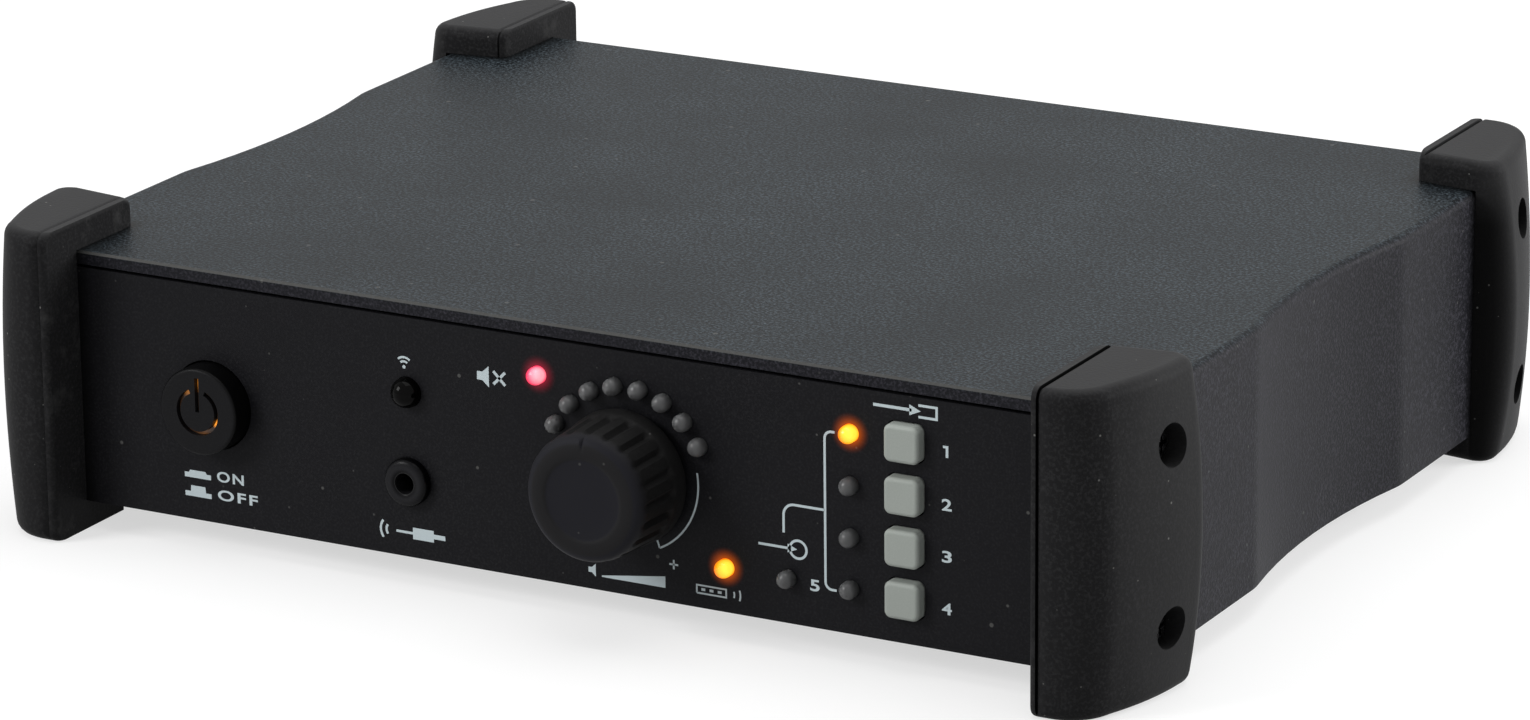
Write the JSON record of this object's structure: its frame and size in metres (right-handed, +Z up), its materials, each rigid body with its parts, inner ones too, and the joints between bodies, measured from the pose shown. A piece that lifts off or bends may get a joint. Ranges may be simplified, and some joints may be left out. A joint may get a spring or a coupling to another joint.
{
  "type": "audio source selector",
  "caption": "Low desktop audio source selector: scalloped box with rubber corner bumpers, latching power button, push-to-mute volume knob, indicator lights and source buttons.",
  "frame": {"origin": "centre of the outer box, on the plane that the bumpers stand on", "axes": "+X to the right seen from the front, +Y towards the rear sockets, +Z up"},
  "size_m": [0.2188, 0.1816, 0.054],
  "materials": {
    "cover_paint": "fine textured powder coat",
    "panel_paint": "matt black",
    "plate_paint": "matt black",
    "bumper_rubber": "matt, lightly dusty",
    "grip_rubber": "soft-touch",
    "screw_steel": "blackened",
    "button_plastic": "warm grey",
    "black_plastic": "satin",
    "window_plastic": "glossy, infrared-clear",
    "lens_amber": "lit",
    "led_grey": "frosted, unlit",
    "led_amber": "lit",
    "led_red": "lit",
    "board_laminate": "solder mask",
    "ribbon_plastic": "grey",
    "nickel": "plated",
    "contact_brass": "bright",
    "white_plastic": "moulded",
    "red_plastic": "moulded",
    "bare_aluminium": "milled",
    "can_sleeve": "sleeved"
  },
  "bodies": {
    "chassis": {"top_cover": "cover_paint", "bottom_plate": "plate_paint", "front_panel": "panel_paint", "rear_panel": "plate_paint", "case_screws": "screw_steel", "bumper_screws": "screw_steel", "bumper_nuts": "screw_steel", "bumper_front_left": "bumper_rubber", "bumper_front_right": "bumper_rubber", "bumper_rear_left": "bumper_rubber", "bumper_rear_right": "bumper_rubber", "power_switch_body": "black_plastic", "ir_window": "window_plastic", "ir_receiver": "black_plastic", "ir_jack_body": "black_plastic", "ir_jack_nut": "black_plastic", "mute_led": "led_red", "level_leds": "led_grey", "remote_led": "led_amber", "source_led_lit": "led_amber", "source_leds_unlit": "led_grey", "encoder_body": "nickel", "encoder_bushing": "nickel", "encoder_nut": "nickel", "tact_switches": "black_plastic", "front_board": "board_laminate", "front_board_spacers": "nickel", "main_board": "board_laminate", "board_standoffs": "nickel", "board_screws": "screw_steel", "ribbon_headers": "black_plastic", "ribbon_cable": "ribbon_plastic", "phono_housings": "black_plastic", "phono_shells": "nickel", "phono_insulators_white": "white_plastic", "phono_insulators_red": "red_plastic", "socket_contacts": "contact_brass", "network_socket": "black_plastic", "dc_inlet": "black_plastic", "relays": "white_plastic", "capacitors": "can_sleeve", "op_amps": "black_plastic", "heatsink": "bare_aluminium", "regulator": "black_plastic"},
    "power_button": {"power_button_cap": "black_plastic", "power_symbol_lens": "lens_amber", "power_plunger": "white_plastic"},
    "encoder_push": {"encoder_push_plate": "black_plastic"},
    "volume_knob": {"encoder_shaft": "bare_aluminium", "knob_core": "black_plastic", "knob_grip": "grip_rubber"},
    "source_key_1": {"source_button_1": "button_plastic", "tact_plunger_1": "black_plastic"},
    "source_key_2": {"source_button_2": "button_plastic", "tact_plunger_2": "black_plastic"},
    "source_key_3": {"source_button_3": "button_plastic", "tact_plunger_3": "black_plastic"},
    "source_key_4": {"source_button_4": "button_plastic", "tact_plunger_4": "black_plastic"}
  },
  "joints": [
    {"name": "power_latch", "type": "slide", "parent": "chassis", "child": "power_button", "axis": [0, -1, 0], "range_m": [-0.0006, 0.003]},
    {"name": "mute_push", "type": "slide", "parent": "chassis", "child": "encoder_push", "axis": [0, 1, 0], "range_m": [0, 0.0008], "stiffness_N_per_m": 3000, "springref_m": -0.0005},
    {"name": "volume_turn", "type": "hinge", "parent": "encoder_push", "child": "volume_knob", "pos_m": [0.0146, -0.07575, 0.0256], "axis": [0, 1, 0], "continuous": true},
    {"name": "source_press_1", "type": "slide", "parent": "chassis", "child": "source_key_1", "axis": [0, 1, 0], "range_m": [0, 0.0006], "stiffness_N_per_m": 3000, "springref_m": -0.0005},
    {"name": "source_press_2", "type": "slide", "parent": "chassis", "child": "source_key_2", "axis": [0, 1, 0], "range_m": [0, 0.0006], "stiffness_N_per_m": 3000, "springref_m": -0.0005},
    {"name": "source_press_3", "type": "slide", "parent": "chassis", "child": "source_key_3", "axis": [0, 1, 0], "range_m": [0, 0.0006], "stiffness_N_per_m": 3000, "springref_m": -0.0005},
    {"name": "source_press_4", "type": "slide", "parent": "chassis", "child": "source_key_4", "axis": [0, 1, 0], "range_m": [0, 0.0006], "stiffness_N_per_m": 3000, "springref_m": -0.0005}
  ]
}
